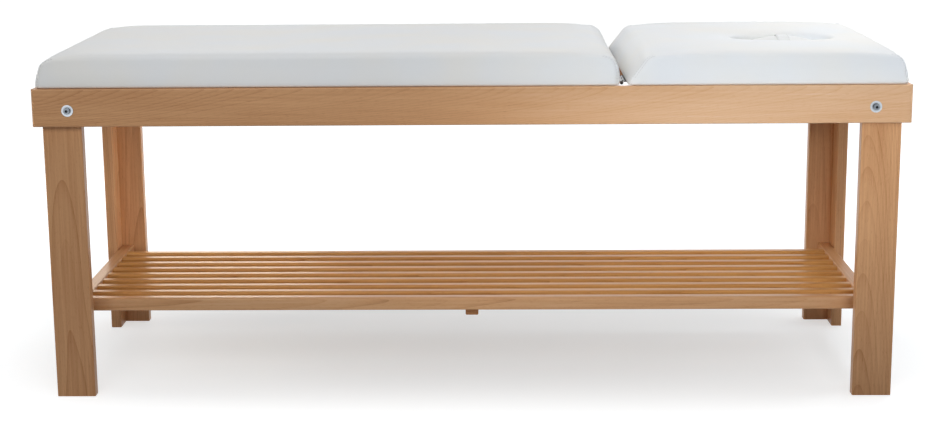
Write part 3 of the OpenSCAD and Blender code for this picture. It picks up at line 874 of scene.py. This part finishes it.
def puffUp(piece, pressure, most):
    # swells the cover on its pinned hem and seams, each point held to a short way
    mesh = piece.data
    group = piece.vertex_groups.new(name="held")
    for index, value in enumerate(mesh.attributes["pin"].data):
        if value.value > 0:
            group.add([index], value.value, "REPLACE")
    cloth = piece.modifiers.new("puff", "CLOTH")
    for key, value in clothRun["settings"].items():
        setattr(cloth.settings, key, value)
    cloth.settings.uniform_pressure_force = pressure
    cloth.settings.vertex_group_mass = group.name
    cloth.settings.effector_weights.gravity = 0
    cloth.collision_settings.use_collision = False
    cloth.point_cache.frame_start, cloth.point_cache.frame_end = 1, clothRun["frames"]
    for number in range(1, clothRun["frames"] + 1):
        scene.frame_set(number)
    solved = piece.evaluated_get(bpy.context.evaluated_depsgraph_get())
    moved = [vert.co.copy() for vert in solved.data.vertices]
    piece.modifiers.clear()
    scene.frame_set(1)
    far = 0
    for vert, target in zip(mesh.vertices, moved):
        shift = target - vert.co
        far = max(far, shift.length)
        if shift.length > 1e-9:
            vert.co += shift.normalized() * most * math.tanh(shift.length / most)
    mesh.update()
    print("  puffed", piece.name, "up to", round(far * 1000, 1), "mm before the limit")


def seamLines(piece):  # points up each sewn corner, from the bottom, with their outward directions
    mesh = piece.data
    if "seam" not in mesh.attributes:
        return []
    numbers, orders = mesh.attributes["seam"].data, mesh.attributes["order"].data
    seams = {}
    for vert in mesh.vertices:
        number = numbers[vert.index].value
        if number:
            spot = (orders[vert.index].value, vert.co.copy(), vert.normal.copy())
            seams.setdefault(number, []).append(spot)
    inOrder = [sorted(seams[number], key=lambda spot: spot[0]) for number in sorted(seams)]
    return [[spot[1:] for spot in seam] for seam in inOrder]


def upholster(name, form, pressure, most, cover, foam, body):
    piece = newPiece(name, form, whiteLeatherette)
    puffUp(piece, pressure, most)
    seams = seamLines(piece)
    step = piece.modifiers.new("smooth", "SUBSURF")
    step.levels = step.render_levels = 1
    step.boundary_smooth = "PRESERVE_CORNERS"
    shadeSmooth(plainMesh(piece), cushions["sharp"])
    closePocket(piece.data)
    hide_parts(cover, foam)
    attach(piece, body)
    return piece, seams


def makeCushion(name, cover, foam, lean, hole, body):
    form = cushionForm(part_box(cover), lean, hole)
    return upholster(name, form, cushions["pressure"], cushions["most"], cover, foam, body)


plugLow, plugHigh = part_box("plug_cover")
holeHalf = [(plugHigh[axis] - plugLow[axis]) / 2 + faceHole["play"] for axis in (0, 1)]
plugHole = ((plugLow + plugHigh) / 2, *holeHalf)
mainCushion, mainSeams = makeCushion("mainCushion", "main_cover", "main_foam", 0, None, "table")
headCushion, headSeams = makeCushion("headCushion", "head_cover", "head_foam", cushions["headLean"], plugHole,
                                     "head_section")
print("cushions made")

# Plug: a crowned oval pad on its plywood base, puffed up under the sewn ends of its strap
plugPad = {
    "points": 64,
    "skin": 0.002,
    "play": 0.0003,
    "crown": 0.0115,  # how far the middle stands above the plain solid's flat top
    "rimDrop": 0.025,  # from the crown down to the rim
    "rimRound": 0.008,
    "rimSteps": 4,
    "rimTurn": 62,
    "wall": (0.33, 0.67),  # rings up the wall, from its foot to the bend of the rim
    "pinnedRings": 6,
    "crownRings": 9,
    "innermost": 0.6,  # of a ring's spacing
    "pressure": 0.7,
    "most": 0.003,
    "tab": 0.012,  # of the strap's ends on the pad, and how far they draw the cover in
    "tabPull": 0.0012,
}


def padForm(box, base, strap):
    low, high = box
    centre = (low + high) / 2
    halfLong, halfWide = (high.x - low.x) / 2, (high.y - low.y) / 2
    skin, bend, count = plugPad["skin"], plugPad["rimRound"], plugPad["points"]
    bottom = low.z + plugPad["play"]
    peakHeight = high.z + plugPad["crown"]
    rim = peakHeight - plugPad["rimDrop"]
    levels = [(skin, base[1].z + plugPad["play"]), (skin, bottom), (0, bottom)]
    levels += [(0, bottom + (rim - bend - bottom) * share) for share in plugPad["wall"]]
    levels += [(bend - bend * math.cos(a), rim - bend + bend * math.sin(a))
               for a in arc(plugPad["rimSteps"], 0, plugPad["rimTurn"])]
    form = bmesh.new()
    pin = form.verts.layers.float.new("pin")
    rows = []

    def oval(long, wide, height, pinned):
        turns = [math.tau * i / count for i in range(count)]
        rows.append([form.verts.new((centre.x + long * math.cos(a), centre.y + wide * math.sin(a), height))
                     for a in turns])
        for vert in rows[-1]:
            vert[pin] = pinned

    for step, (inset, height) in enumerate(levels):
        oval(halfLong - inset, halfWide - inset, height, 1.0 if step < plugPad["pinnedRings"] else 0.0)
    inset, start = levels[-1]
    for i in range(1, plugPad["crownRings"] + 1):
        share = 1 - i / (plugPad["crownRings"] + plugPad["innermost"])
        height = start + (peakHeight - start) * (1 - share * share)
        oval((halfLong - inset) * share, (halfWide - inset) * share, height, 0.0)
    bridgeAll(form, rows)
    peak = form.verts.new((centre.x, centre.y, peakHeight))
    for i in range(count):
        form.faces.new((rows[-1][i], rows[-1][(i + 1) % count], peak))
    tabFrom = strap[1].y - plugPad["tab"]
    for vert in form.verts:
        inStrap = strap[0].x < vert.co.x < strap[1].x
        if vert.co.z > rim and inStrap and tabFrom < abs(vert.co.y) < strap[1].y:
            vert.co.z -= plugPad["tabPull"]
            vert[pin] = 1.0
    bmesh.ops.recalc_face_normals(form, faces=form.faces)
    return form


# Strap: a flat band that arches over the pad, its ends lying on it
strapBand = {"thick": 0.0018, "edge": 0.0006, "lift": 0.0003, "rise": 0.0005, "steps": 24, "sharp": 40}


def strapPath(pad):
    low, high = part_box("plug_strap")
    middle = (low + high) / 2
    half = (high.y - low.y) / 2 - plugPad["tab"]
    reach = half + plugPad["tab"]
    surface = surfaceOf(pad)
    path = []
    for i in range(strapBand["steps"] + 1):
        y = reach * (2 * i / strapBand["steps"] - 1)
        rise = strapBand["rise"] * max(0, 1 - (y / half) ** 2)
        under = surface.ray_cast(Vector((middle.x, y, 2)), Vector((0, 0, -1)))[0].z  # from well above
        path.append(Vector((middle.x, y, under + strapBand["lift"] + rise)))
    return path


def makeStrap(path):
    low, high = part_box("plug_strap")
    half, thick, edge = (high.x - low.x) / 2, strapBand["thick"], strapBand["edge"]
    section = [(-half + edge, 0), (half - edge, 0), (half, edge), (half, thick - edge),
               (half - edge, thick), (-half + edge, thick), (-half, thick - edge), (-half, edge)]
    form = bmesh.new()
    rows = []
    for i, spot in enumerate(path):
        along = (path[min(i + 1, len(path) - 1)] - path[max(i - 1, 0)]).normalized()
        up = Vector((1, 0, 0)).cross(along)
        rows.append([form.verts.new(spot + Vector((x, 0, 0)) + up * z) for x, z in section])
    closeEnds(form, rows)
    piece = newPiece("plugStrap", form, whiteLeatherette, strapBand["sharp"])
    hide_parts("plug_strap")
    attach(piece, "plug")


padShape = padForm(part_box("plug_cover"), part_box("plug_base"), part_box("plug_strap"))
pad, _ = upholster("plugPad", padShape, plugPad["pressure"], plugPad["most"],
                   "plug_cover", "plug_foam", "plug")
strapLine = strapPath(pad)
makeStrap(strapLine)
print("plug and strap made")

# Thread: a little greyer than the cover, which is painted shade along each seam's crease, and rougher and
# twisted
thread = {
    "colour": linear(190, 192, 193),
    "shade": linear(160, 162, 163),
    "stops": (0.2, 0.7),
    "twist": 1400,
    "distortion": 2.0,
    "roughness": 0.7,
    "relief": (0.3, 0.0001),
}


def threadMaterial():
    material, tree, shader = newMaterial("whiteThread")
    wave = {"Vector": spotOn(tree), "Scale": thread["twist"], "Distortion": thread["distortion"]}
    twist = put(tree, "ShaderNodeTexWave", wave, bands_direction="DIAGONAL").outputs["Fac"]
    # painted shade: the thread is greyer than the cover for the crease along each seam, and darker in the
    # grooves of its twist
    tones = list(zip(thread["stops"], (thread["shade"], thread["colour"])))
    feed(tree, shader, {"Base Color": rampOf(tree, twist, tones), "Roughness": thread["roughness"]})
    emboss(tree, shader, twist, *thread["relief"])
    return material


whiteThread = threadMaterial()


def newTree(name, inputs):
    tree = bpy.data.node_groups.new(name, "GeometryNodeTree")
    for title, kind in (("Path", "Geometry"), *inputs, ("Material", "Material")):
        tree.interface.new_socket(title, in_out="INPUT", socket_type="NodeSocket" + kind)
    tree.interface.new_socket("Pieces", in_out="OUTPUT", socket_type="NodeSocketGeometry")
    return tree, put(tree, "NodeGroupInput").outputs


def endTree(tree, shapes, material):
    plain = put(tree, "GeometryNodeRealizeInstances", {0: shapes}).outputs[0]
    dressed = put(tree, "GeometryNodeSetMaterial", {"Geometry": plain, "Material": material}).outputs[0]
    put(tree, "NodeGroupOutput", {"Pieces": dressed})
    return tree


def evenCurve(tree, given):
    curve = put(tree, "GeometryNodeMeshToCurve", {0: given["Path"]}).outputs[0]
    even = put(tree, "GeometryNodeResampleCurve", {"Curve": curve, "Length": given["Pitch"]}, mode="LENGTH")
    return even.outputs[0]


def facing(tree, along=None):  # a turn that points a shape's top outward, and its length along the path
    out = put(tree, "GeometryNodeInputNamedAttribute", {"Name": "out"}, data_type="FLOAT_VECTOR").outputs[0]
    turn = put(tree, "FunctionNodeAlignRotationToVector", {"Vector": out}, axis="Z").outputs[0]
    if along is None:
        return turn
    return put(tree, "FunctionNodeAlignRotationToVector", {"Rotation": turn, "Vector": along},
               axis="X", pivot_axis="Z").outputs[0]


def anyTurn(tree, turn, most, seed):
    limits = {2: sums(tree, "MULTIPLY", most, -1), 3: most, "Seed": seed}
    spin = put(tree, "FunctionNodeRandomValue", limits, data_type="FLOAT").outputs[1]
    angles = put(tree, "ShaderNodeCombineXYZ", {2: spin}).outputs[0]
    by = put(tree, "FunctionNodeEulerToRotation", {0: angles}).outputs[0]
    return put(tree, "FunctionNodeRotateRotation", {0: turn, 1: by}, rotation_space="LOCAL").outputs[0]


def shapesOn(tree, given, points, turn):
    shape = put(tree, "GeometryNodeObjectInfo", {"Object": given["Shape"]}).outputs["Geometry"]
    turn = anyTurn(tree, turn, given["Loose Turn"], given["Seed"])
    shapes = put(tree, "GeometryNodeInstanceOnPoints",
                 {"Points": points, "Instance": shape, "Scale": given["Size"], "Rotation": turn})
    return endTree(tree, shapes.outputs[0], given["Material"])


shapeInputs = (("Shape", "Object"), ("Size", "Float"), ("Loose Turn", "Float"), ("Seed", "Int"))


def rowTree():  # one shape after another along a path
    tree, given = newTree("rowAlongPath", (*shapeInputs, ("Pitch", "Float")))
    turn = facing(tree, put(tree, "GeometryNodeInputTangent").outputs[0])
    return shapesOn(tree, given, evenCurve(tree, given), turn)


def spotTree():  # one shape on each point
    tree, given = newTree("oneAtEachPoint", shapeInputs)
    points = put(tree, "GeometryNodeMeshToPoints", {0: given["Path"]}).outputs[0]
    return shapesOn(tree, given, points, facing(tree))


def cordTree():  # a thin round cord along a path
    tree, given = newTree("cordAlongPath", (("Thickness", "Float"), ("Sides", "Int"), ("Pitch", "Float")))
    radius = sums(tree, "MULTIPLY", given["Thickness"], 0.5)
    ring = put(tree, "GeometryNodeCurvePrimitiveCircle", {"Resolution": given["Sides"], "Radius": radius})
    sweep = {"Curve": evenCurve(tree, given), "Profile Curve": ring.outputs[0], "Fill Caps": True}
    cord = put(tree, "GeometryNodeCurveToMesh", sweep).outputs[0]
    smooth = put(tree, "GeometryNodeSetShadeSmooth", {0: cord}).outputs[0]
    return endTree(tree, smooth, given["Material"])


def ringShape(name, rows, sharp=40):  # a small closed shape from rings of points
    form = bmesh.new()
    closeEnds(form, [[form.verts.new(point) for point in row] for row in rows])
    return bpy.data.objects.new(name, meshOf(name, form, sharp))


def wireShape(name, length, thick, dips, sides=6):  # a bit of wire along X whose ends dip into what it holds
    turns = [math.tau * i / sides for i in range(sides)]
    rows = []
    for share, dip, size in dips:
        x, radius = share * length / 2, size * thick / 2
        rows.append([(x, radius * math.cos(a), radius * math.sin(a) - dip * thick) for a in turns])
    return ringShape(name, rows)


def repeated(name, tree, lines, values, body):
    # lines of (place, outward direction); the tree's shapes become one plain mesh
    points, edges, outs = [], [], []
    for line in lines:
        edges += [(len(points) + i, len(points) + i + 1) for i in range(len(line) - 1)]
        points += [place for place, _ in line]
        outs += [tuple(out) for _, out in line]
    mesh = bpy.data.meshes.new(name)
    mesh.from_pydata(points, edges, [])
    layer = mesh.attributes.new("out", "FLOAT_VECTOR", "POINT")
    for item, out in zip(layer.data, outs):
        item.vector = out
    piece = bpy.data.objects.new(name, mesh)
    rows = piece.modifiers.new("repeat", "NODES")
    rows.node_group = tree
    for item in tree.interface.items_tree:
        if item.in_out == "INPUT" and item.name in values:
            rows[item.identifier] = values[item.name]
    scene.collection.objects.link(piece)
    plain = plainMesh(piece)
    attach(piece, body)
    print("  repeated", name, len(plain.polygons), "faces")


rowNodes, spotNodes, cordNodes = rowTree(), spotTree(), cordTree()
up, down = Vector((0, 0, 1)), Vector((0, 0, -1))

# Seams: a low ridge up each sewn corner with a row of stitches on both sides of it
seamWork = {
    "ridge": 0.0022,
    "sunk": 0.22,  # of the ridge's thickness
    "sides": 8,
    "step": 0.004,
    "aside": 0.0036,
    "stitch": 0.0042,
    "threadThick": 0.0007,
    # along the stitch from its middle, dip and thickness
    "dips": ((-1, 0.9, 0.5), (-0.75, 0.1, 0.9), (0, -0.15, 1), (0.75, 0.1, 0.9), (1, 0.9, 0.5)),
    "row": {"Pitch": 0.0062, "Size": 1.0, "Loose Turn": 0.06, "Seed": 3},
}
stitch = wireShape("stitch", seamWork["stitch"], seamWork["threadThick"], seamWork["dips"])


def besideSeam(cover, seam, side):  # the seam's line moved aside, along the cover
    line = []
    for i, (place, out) in enumerate(seam):
        along = seam[min(i + 1, len(seam) - 1)][0] - seam[max(i - 1, 0)][0]
        spot = place + out.cross(along).normalized() * side
        line.append(cover.find_nearest(spot)[:2])
    return line


def sewSeams(cushion, seams, label, body):
    sunk = seamWork["ridge"] * seamWork["sunk"]
    ridges = [[(place - out * sunk, out) for place, out in seam] for seam in seams]
    ridge = {"Thickness": seamWork["ridge"], "Sides": seamWork["sides"], "Pitch": seamWork["step"]}
    repeated(label + "SeamRidges", cordNodes, ridges, {**ridge, "Material": whiteLeatherette}, body)
    cover = surfaceOf(cushion)
    rows = [besideSeam(cover, seam, side * seamWork["aside"]) for seam in seams for side in (-1, 1)]
    repeated(label + "SeamStitches", rowNodes, rows,
             {**seamWork["row"], "Shape": stitch, "Material": whiteThread}, body)


sewSeams(mainCushion, mainSeams, "main", "table")
sewSeams(headCushion, headSeams, "head", "head_section")

# Strap stitches: one row along each edge and a crossed box on each end
strapWork = {
    "fromEdge": 0.003,
    "boxPoints": 4,  # of the strap's path
    "row": {"Pitch": 0.0046, "Size": 0.8, "Loose Turn": 0.05, "Seed": 5},
}


def strapRows(path):
    low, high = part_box("plug_strap")
    across = Vector(((high.x - low.x) / 2 - strapWork["fromEdge"], 0, 0))
    count = strapWork["boxPoints"]
    path = [spot + up * strapBand["thick"] for spot in path[1:-1]]
    rows = [[spot + across * side for spot in path] for side in (-1, 1)]
    for end in (path[:count], path[-count:]):
        first, last = end[0], end[-1]
        rows += [(first - across, first + across), (last - across, last + across),
                 (first - across, last + across), (first + across, last - across)]
    return [[(spot, up) for spot in row] for row in rows]


repeated("strapStitches", rowNodes, strapRows(strapLine),
         {**strapWork["row"], "Shape": stitch, "Material": whiteThread}, "plug")
print("seams sewn")

# Staples hold the covers' hems to the panels, out of the way of the hinges and the cross rails
staples = {
    "length": 0.010,
    "thick": 0.0009,
    "dips": ((-1, 1.2, 0.9), (-0.97, 0.1, 1), (-0.9, 0, 1), (0.9, 0, 1), (0.97, 0.1, 1), (1, 1.2, 0.9)),
    "pitch": 0.026,
    "inset": 0.023,
    "clear": 0.012,
    "sunk": 0.1,  # of the wire's thickness
    "row": {"Size": 1.0, "Loose Turn": 0.12, "Seed": 7},
    "rows": (
        ("main", ("hinge_front_main_leaf", "hinge_rear_main_leaf"),
         ("foot_cross_rail", "middle_cross_rail", "hinge_cross_rail"), "table"),
        ("head", ("hinge_front_head_leaf", "hinge_rear_head_leaf"), (), "head_section"),
    ),
}
staple = wireShape("staple", staples["length"], staples["thick"], staples["dips"])


def without(start, stop, blocks):  # what is left of a stretch when some spans are taken out
    pieces, at = [], start
    for low, high in sorted(blocks):
        if low > at:
            pieces.append((at, min(low, stop)))
        at = max(at, high)
    if at < stop:
        pieces.append((at, stop))
    return [piece for piece in pieces if piece[1] - piece[0] > staples["pitch"]]


def spanOf(names, axis):
    clear = staples["clear"]
    return [(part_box(name)[0][axis] - clear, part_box(name)[1][axis] + clear) for name in names]


def hemRows(cover, leaves, crossings):
    low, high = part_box(cover)
    inset = staples["inset"]
    left, right, front, back = low.x + inset, high.x - inset, low.y + inset, high.y - inset
    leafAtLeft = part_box(leaves[0])[0].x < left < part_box(leaves[0])[1].x
    height = low.z + staples["thick"] * staples["sunk"]
    lines = []
    for y in (front, back):
        lines += [[(x, y) for x in span] for span in without(left, right, spanOf(crossings, 0))]
    for x in (left, right):
        blocks = spanOf(leaves, 1) if (x == left) == leafAtLeft else []
        lines += [[(x, y) for y in span] for span in without(front, back, blocks)]
    return [[(Vector((x, y, height)), down) for x, y in line] for line in lines]


for label, leaves, crossings, body in staples["rows"]:
    repeated(label + "Staples", rowNodes, hemRows(label + "_cover", leaves, crossings),
             {**staples["row"], "Shape": staple, "Pitch": staples["pitch"], "Material": zincPlate},
             body)

# Screws in the hinge leaves, the prop brackets, the racks and under the shelf's middle batten
screws = {
    "radius": 0.0036,
    "height": 0.0006,
    "cross": (0.62, 0.15, 0.32),  # reach, half width and depth of the cut, in radii
    "narrowing": 0.8,  # of the cut toward its bottom
    "rings": ((0.9, -1), (1, 0), (0.96, 0.35), (0.76, 0.8)),  # radius and height of the head's rings
    "rimTurns": (-15, 15, 45),  # the rim's points beside each arm of the cut
    "crossHeight": 0.9,
    "sharp": 30,
    "leafSpots": ((0.18, -0.16), (0.5, 0.16), (0.82, -0.16)),  # along a leaf, and aside from its middle
    "leafThick": 0.002,
    # along a bracket, and in from its outer edge
    "bracketSpots": ((0.18, 0.015), (0.82, 0.015), (0.18, 0.029), (0.82, 0.029)),
    "bracketThick": 0.003,
    "rackSpots": (0.1, 0.5, 0.9),
    "rackUp": 0.011,
    "battenSlats": range(2, 9),
    "set": {"Size": 1.0, "Loose Turn": 1.5, "Seed": 9},
}


def screwShape():  # a low countersunk head with a cross cut into it
    radius, height = screws["radius"], screws["height"]
    arm, slot, deep = (share * radius for share in screws["cross"])
    rimTurns = [math.radians(angle) for angle in screws["rimTurns"]]
    cross, rim = [], []
    for quarter in range(4):
        turn = Matrix.Rotation(math.radians(90 * quarter), 3, "Z")
        cross += [turn @ Vector(point) for point in ((arm, -slot, 0), (arm, slot, 0), (slot, slot, 0))]
        rim += [turn @ Vector((math.cos(a), math.sin(a), 0)) for a in rimTurns]
    rows = [[point * radius * share + up * z * height for point in rim] for share, z in screws["rings"]]
    mouth = screws["crossHeight"] * height
    rows += [[point + up * mouth for point in cross],
             [point * screws["narrowing"] + up * (mouth - deep) for point in cross]]
    return ringShape("screwHead", rows, screws["sharp"])


def acrossOf(name):
    # a piece's box, which way is inward from its side of the table, and its outer and inner faces
    low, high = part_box(name)
    front = "front" in name
    return low, high, 1 if front else -1, *((low.y, high.y) if front else (high.y, low.y))


def leafScrews(name):
    low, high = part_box(name)
    rolled = 2 * (high.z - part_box("hinge_pins")[0].z)  # about the width of the rolled edge
    flat = (low.x, high.x - rolled) if "main" in name else (low.x + rolled, high.x)
    rows = []
    for share, shift in screws["leafSpots"]:
        x = (flat[0] + flat[1]) / 2 + shift * (flat[1] - flat[0])
        y = low.y + share * (high.y - low.y)
        rows.append((Vector((x, y, high.z - screws["leafThick"])), down))
    return rows


def bracketScrews(name):
    low, high, inward, outer, _ = acrossOf(name)
    height = high.z - screws["bracketThick"]
    return [(Vector((low.x + share * (high.x - low.x), outer + inward * reach, height)), down)
            for share, reach in screws["bracketSpots"]]


def rackScrews(name):
    low, high, inward, _, face = acrossOf(name)
    height = low.z + screws["rackUp"]
    return [(Vector((low.x + share * (high.x - low.x), face, height)), Vector((0, inward, 0)))
            for share in screws["rackSpots"]]


def battenScrews():
    low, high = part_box("shelf_batten_middle")
    slats = [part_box("shelf_slat_%d" % number) for number in screws["battenSlats"]]
    return [(Vector(((low.x + high.x) / 2, (slat[0].y + slat[1].y) / 2, low.z)), down) for slat in slats]


screw = screwShape()
tableSpots = battenScrews()
headSpots = []
for side in ("front", "rear"):
    tableSpots += leafScrews("hinge_%s_main_leaf" % side) + rackScrews("rack_" + side)
    headSpots += leafScrews("hinge_%s_head_leaf" % side) + bracketScrews("prop_bracket_" + side)
for label, spots, body in (("table", tableSpots, "table"), ("head", headSpots, "head_section")):
    repeated(label + "Screws", spotNodes, [[spot] for spot in spots],
             {**screws["set"], "Shape": screw, "Material": zincPlate}, body)
for shape in (stitch, staple, screw):
    bpy.data.objects.remove(shape)
print("staples and screws set")
